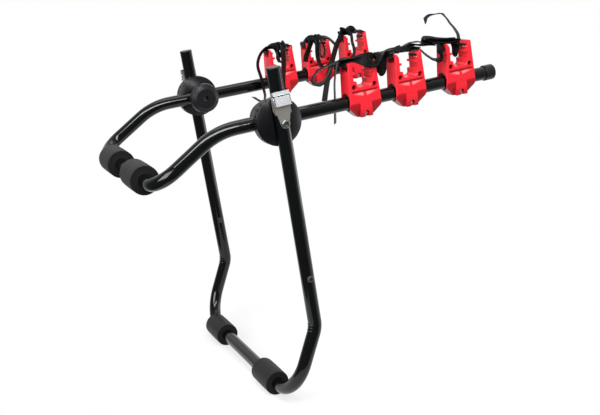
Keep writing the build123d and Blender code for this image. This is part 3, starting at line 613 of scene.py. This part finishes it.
# Half of the webbing's section, as shares of its width and thickness: thin woven edges that swell
# to a rib beside them
RIBBON = [(-0.5, 0.0), (-0.488, 0.42), (-0.45, 0.55), (-0.38, 0.46), (-0.13, 0.5), (0.13, 0.5),
          (0.38, 0.46), (0.45, 0.55), (0.488, 0.42), (0.5, 0.0)]


def smooth_run(points, steps=7):
    """Points of a curve through the given rows, every value of a row smoothed alike."""
    rows = np.array(points, float)
    padded = np.vstack([2 * rows[0] - rows[1], rows, 2 * rows[-1] - rows[-2]])
    out = []
    for i in range(1, len(padded) - 2):
        a, b, c, d = padded[i - 1:i + 3]
        for step in range(steps):
            t = step / steps
            out.append(0.5 * (2 * b + (c - a) * t + (2 * a - 5 * b + 4 * c - d) * t * t
                              + (3 * b - a - 3 * c + d) * t ** 3))
    out.append(rows[-1])
    return out


def add_ribbon(bm, weave, side, points, width, thickness, loose):
    """One stretch of webbing, laid flat along X or, where it is loose, turned from EYE."""
    rows = smooth_run([tuple(p) + (1.0,) * (5 - len(p)) for p in points])
    spots = [on_arm(side, shift, along, up) for shift, along, up, turn, share in rows]
    steps = [(after - before).normalized() for before, after in zip(spots, spots[1:])]
    outline = RIBBON + [(x, -y) for x, y in reversed(RIBBON[1:-1])]
    rings = []
    run = 0.0
    for index, spot in enumerate(spots):
        ahead = (steps[max(index - 1, 0)] + steps[min(index, len(steps) - 1)]).normalized()
        across = spot - EYE if loose else Vector((1, 0, 0))
        across = (across - ahead * across.dot(ahead)).normalized()
        turn, share = rows[index][3:]
        across = Matrix.Rotation(math.radians(turn), 3, ahead) @ across
        normal = ahead.cross(across)
        if index:
            run += (spot - spots[index - 1]).length
        ring = []
        for x, y in outline:
            vert = bm.verts.new(spot + across * (x * width * share) + normal * (y * thickness))
            vert[weave] = Vector((x * width, run, 0))
            ring.append(vert)
        rings.append(ring)
    count = len(outline)
    for first, second in zip(rings, rings[1:]):
        for i in range(count):
            after = (i + 1) % count
            bm.faces.new((first[i], first[after], second[after], second[i]))
    bm.faces.new(list(reversed(rings[0])))
    bm.faces.new(rings[-1])


def strap_mesh(name, side, index, sizes):
    """A strap: its run over the cradle and its loose stretches."""
    bm = bmesh.new()
    weave = bm.verts.layers.float_vector.new("weave")
    place = CRADLES[side][index]
    width, thickness = sizes.strap_width, sizes.strap_thickness
    for held in (HALF_OVER, STUB) if name in BARE_POSTS else (OVER,):
        run = [(shift, place + along, up, 0) for shift, along, up in held]
        add_ribbon(bm, weave, side, run, width, thickness, loose=False)
    for run in LOOSE[name]:
        add_ribbon(bm, weave, side, run, width, thickness, loose=True)
    bmesh.ops.recalc_face_normals(bm, faces=bm.faces)
    mesh = bpy.data.meshes.new(name + "_webbing")
    bm.to_mesh(mesh)
    bm.free()
    return mesh


# Studio, in m

FLOOR = -29.2 * MM
FLOOR_CORNERS = [(-0.55, -1.6, FLOOR), (1.8, -1.6, FLOOR), (1.8, 0.36, FLOOR), (-0.55, 0.36, FLOOR)]

# How far from the rack the floor starts and ends to turn into the backdrop, and the share of
# backdrop that it shows under the rack
FLOOR_START, FLOOR_END, FLOOR_SHARE = 0.3, 0.55, 0.62

# The directions in which the room is bright, for mirrored light and for all other light
MIRRORED_FROM = (0.6, -0.72, 0.35)
LIT_FROM = (-0.25, 0.85, 0.45)

# Lamps: name, start, end, width, radiance, and their shares in matt and in mirrored light
LAMPS = (
    ("key_strip", (-2.05, -0.5, 1.7), (-0.66, 1.35, 2.35), 0.42, 15.0, 0.35, 1.0),
    ("side_box", (-0.9, -2.7, 0.7), (0.7, -2.7, 0.7), 1.4, 2.0, 1.0, 1.0),
    ("top_box", (-0.2, -0.9, 2.6), (0.6, 0.5, 2.6), 0.8, 2.0, 1.0, 1.0),
    ("fill_box", (-1.7, 1.6, 1.2), (-0.3, 2.2, 1.2), 1.4, 8.0, 1.0, 0.0))
LAMPS_AIM = Vector((0, 0, 0.5))


# Operators


class RACK_OT_frames(bpy.types.Operator):
    """Enamel both tube frames"""
    bl_idname = "rack.frames"
    bl_label = "Enamel the frames"

    def execute(self, context):
        look = context.scene.rack_look
        made = material("black_enamel", enamel, colour=look.enamel, gloss=look.gloss)
        paint(["lower_frame", "upper_frame"], made)
        return {"FINISHED"}


class RACK_OT_hubs(bpy.types.Operator):
    """Finish the hub saddles, the knobs and what is in them"""
    bl_idname = "rack.hubs"
    bl_label = "Finish the hubs"

    def execute(self, context):
        look = context.scene.rack_look
        hub = material("hub_nylon", moulded, colour=look.hub, rough=0.3, grain=0.6, specular=0.2)
        knob = material("knob_nylon", moulded,
                        colour=shade(look.hub, 2.0), rough=0.36, grain=0.8, specular=0.26)
        zinc = material("bolt_zinc", bright_metal, colour=(0.26, 0.26, 0.26), rough=0.22, grain=0.2)
        black = material("bolt_black", moulded,
                         colour=(0.02, 0.02, 0.02), rough=0.3, grain=1.0, specular=0.5)
        paint(both("outer_saddle", "inner_saddle"), hub)
        paint(both("knob"), knob)
        paint(both("knob_nut", "knob_washer") + ["hub_bolts"], zinc)
        paint(["anchor_bolts", "anchor_nuts"], black)
        return {"FINISHED"}


class RACK_OT_buckles(bpy.types.Operator):
    """Finish the strap buckles on the legs"""
    bl_idname = "rack.buckles"
    bl_label = "Finish the buckles"

    def execute(self, context):
        chrome = material("lever_chrome", lever_plating, colour=(0.86, 0.87, 0.89), rough=0.26)
        plate = material("bracket_steel", bright_metal,
                         colour=(0.42, 0.41, 0.36), rough=0.42, grain=0.2)
        bright = material("bright_steel", bright_metal,
                          colour=(0.7, 0.7, 0.7), rough=0.2, grain=0.15)
        paint(both("cam_lever"), chrome)
        paint(both("buckle_bracket"), plate)
        paint(both("lever_pin", "lever_spring"), bright)
        return {"FINISHED"}


class RACK_OT_caps(bpy.types.Operator):
    """Finish the caps of the legs and of the arms"""
    bl_idname = "rack.caps"
    bl_label = "Finish the caps"

    def execute(self, context):
        plastic = material("cap_plastic", moulded,
                           colour=(0.006, 0.006, 0.0065), rough=0.3, grain=1.0, specular=0.3)
        rubber = material("cap_rubber", moulded,
                          colour=(0.005, 0.005, 0.0055), rough=0.3, grain=0.7, specular=0.3)
        paint(both("leg_cap"), plastic)
        paint(both("arm_cap"), rubber)
        return {"FINISHED"}


class RACK_OT_cradles(bpy.types.Operator):
    """Finish the cradles, their liners and their screws"""
    bl_idname = "rack.cradles"
    bl_label = "Finish the cradles"

    def execute(self, context):
        look = context.scene.rack_look
        rubber = material("liner_rubber", moulded,
                          colour=(0.012, 0.012, 0.013), rough=0.6, grain=0.7, specular=0.3)
        zinc = material("screw_zinc", bright_metal,
                        colour=(0.62, 0.61, 0.58), rough=0.28, grain=0.2)
        black = material("screw_black", moulded,
                         colour=(0.008, 0.008, 0.008), rough=0.4, grain=1.0, specular=0.3)
        for side, places in CRADLES.items():
            nylon = material(f"red_nylon_{side}", cradle_plastic, colour=look.cradle, rough=0.26,
                             places=[place * MM for place in places])
            for number in range(1, len(places) + 1):
                cradle = f"cradle_{side}_{number}"
                paint([f"{cradle}_screw_half", f"{cradle}_nut_half"], nylon)
                paint([f"cradle_liner_{side}_{number}"], rubber)
        paint(["cradle_clamp_screws", "cradle_nuts"], zinc)
        paint(["cradle_screws"], black)
        return {"FINISHED"}


class RACK_OT_pads(bpy.types.Operator):
    """Make the foam pads that rest on the car"""
    bl_idname = "rack.pads"
    bl_label = "Make the pads"

    def execute(self, context):
        look, sizes = context.scene.rack_look, context.scene.rack_sizes
        made = material("pad_foam", foam_rubber, colour=look.rubber, rough=0.52)
        for body, stem in (("stand", "lower_pad"), ("arms", "upper_pad")):
            for node in both(stem):
                name = node + "_foam"
                mesh = pad_mesh(name, node, sizes)
                piece = add_piece(name, mesh, body, made, [node])
        return {"FINISHED"}


class RACK_OT_straps(bpy.types.Operator):
    """Make the webbing straps of the cradles"""
    bl_idname = "rack.straps"
    bl_label = "Make the straps"

    def execute(self, context):
        look, sizes = context.scene.rack_look, context.scene.rack_sizes
        made = material("strap_webbing", webbing, colour=look.strap, rough=0.34)
        for side, places in CRADLES.items():
            for index in range(len(places)):
                node = f"strap_{side}_{index + 1}"
                mesh = strap_mesh(node, side, index, sizes)
                add_piece(node + "_webbing", mesh, "arms", made, [node])
        return {"FINISHED"}


class RACK_OT_studio(bpy.types.Operator):
    """Make the floor, the lamps, the world and the camera"""
    bl_idname = "rack.studio"
    bl_label = "Build the studio"

    def execute(self, context):
        scene = context.scene
        scene.view_settings.view_transform = "Standard"
        self.floor(scene)
        self.world(scene)
        self.lamps(scene)
        self.camera(scene)
        return {"FINISHED"}

    def floor(self, scene):
        """A pale sheet that keeps the rack's shadow and turns into the backdrop away from it."""
        mesh = bpy.data.meshes.new("studio_floor")
        mesh.from_pydata(FLOOR_CORNERS, [], [(0, 1, 2, 3)])
        piece = bpy.data.objects.new("studio_floor", mesh)
        scene.collection.objects.link(piece)
        made = bpy.data.materials.new("studio_floor")
        made.use_nodes = True
        f = Finish(made.node_tree)
        ends = {0: f.place(), 1: (0, 0, FLOOR)}
        away = f.node("VectorMath", {"operation": "DISTANCE"}, ends, out="Value")
        share = f.limits(away, FLOOR_START, FLOOR_END, FLOOR_SHARE, 1.0)
        path = f.node("LightPath", out="Is Camera Ray")
        seen = path + path.beside("Is Glossy Ray") + path.beside("Is Transmission Ray")
        matt = f.node("BsdfDiffuse", {}, {"Color": (0.8, 0.8, 0.8, 1)})
        glow = f.node("Emission", {}, {"Color": (1, 1, 1, 1), "Strength": 1.0})
        shown = f.node("MixShader", {}, {0: f.limits(seen, 0.0, 1.0) * share, 1: matt, 2: glow})
        f.finish("OutputMaterial", shown)
        mesh.materials.append(made)

    def world(self, scene):
        """A white backdrop, and a dimmer room that is brighter on one side for what it lights."""
        world = bpy.data.worlds.new("studio_world")
        scene.world = world
        world.use_nodes = True
        f = Finish(world.node_tree)
        where = f.node("TexCoord", out="Generated")
        path = f.node("LightPath", out="Is Camera Ray")
        glossy = path.beside("Is Glossy Ray")
        seen = f.limits(path + path.beside("Is Transmission Ray"), 0.0, 1.0)
        mirrored = f.limits(f.reach(where, MIRRORED_FROM), -0.3, 0.6, 0.12, 1.0)
        lit = f.limits(f.reach(where, LIT_FROM), -0.7, 0.9, 0.3, 0.75)
        level = glossy * mirrored + (1 - glossy) * lit
        sockets = {"Color": (1, 1, 1, 1), "Strength": seen + (1 - seen) * level}
        f.finish("OutputWorld", f.node("Background", {}, sockets))

    def lamps(self, scene):
        """Oblong lamps from start to end that face the rack."""
        for name, start, end, width, radiance, matt, mirrored in LAMPS:
            start, end = Vector(start), Vector(end)
            lamp = bpy.data.lights.new(name, "AREA")
            lamp.diffuse_factor = matt
            lamp.specular_factor = mirrored
            lamp.shape = "RECTANGLE"
            lamp.size, lamp.size_y = (end - start).length, width
            lamp.energy = radiance * math.pi * lamp.size * lamp.size_y
            piece = bpy.data.objects.new(name, lamp)
            scene.collection.objects.link(piece)
            along = (end - start).normalized()
            back = (start + end) / 2 - LAMPS_AIM
            back = (back - along * back.dot(along)).normalized()
            turn = Matrix((along, back.cross(along), back)).transposed().to_4x4()
            piece.matrix_world = Matrix.Translation((start + end) / 2) @ turn

    def camera(self, scene):
        """A camera at the point that the photograph was taken from."""
        data = bpy.data.cameras.new("camera")
        data.lens = LENS
        data.sensor_width = SENSOR_WIDTH
        piece = bpy.data.objects.new("camera", data)
        scene.collection.objects.link(piece)
        ahead = Vector((-math.sin(EYE_TURN) * math.cos(EYE_TILT),
                        math.cos(EYE_TURN) * math.cos(EYE_TILT), -math.sin(EYE_TILT)))
        piece.location = EYE
        piece.rotation_euler = ahead.to_track_quat("-Z", "Y").to_euler()
        scene.camera = piece


STEPS = (RACK_OT_frames, RACK_OT_hubs, RACK_OT_buckles, RACK_OT_caps, RACK_OT_cradles,
         RACK_OT_pads, RACK_OT_straps, RACK_OT_studio)


class RACK_PT_panel(bpy.types.Panel):
    """The rack's steps, colours and sizes"""
    bl_idname = "RACK_PT_panel"
    bl_label = "Bike rack"
    bl_space_type = "VIEW_3D"
    bl_region_type = "UI"
    bl_category = "Bike rack"

    def draw(self, context):
        layout = self.layout
        for group in (context.scene.rack_look, context.scene.rack_sizes):
            for name in group.__annotations__:
                layout.prop(group, name)
        for step in STEPS:
            layout.operator(step.bl_idname)


CLASSES = (RackLook, RackSizes) + STEPS + (RACK_PT_panel,)


def register():
    for item in CLASSES:
        bpy.utils.register_class(item)
    bpy.types.Scene.rack_look = PointerProperty(type=RackLook)
    bpy.types.Scene.rack_sizes = PointerProperty(type=RackSizes)


def unregister():
    del bpy.types.Scene.rack_sizes
    del bpy.types.Scene.rack_look
    for item in reversed(CLASSES):
        bpy.utils.unregister_class(item)


def main():
    """Register the classes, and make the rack's pieces and the studio."""
    register()
    bpy.ops.rack.frames()
    bpy.ops.rack.hubs()
    bpy.ops.rack.buckles()
    bpy.ops.rack.caps()
    bpy.ops.rack.cradles()
    bpy.ops.rack.pads()
    bpy.ops.rack.straps()
    bpy.ops.rack.studio()


if __name__ == "__main__":
    main()
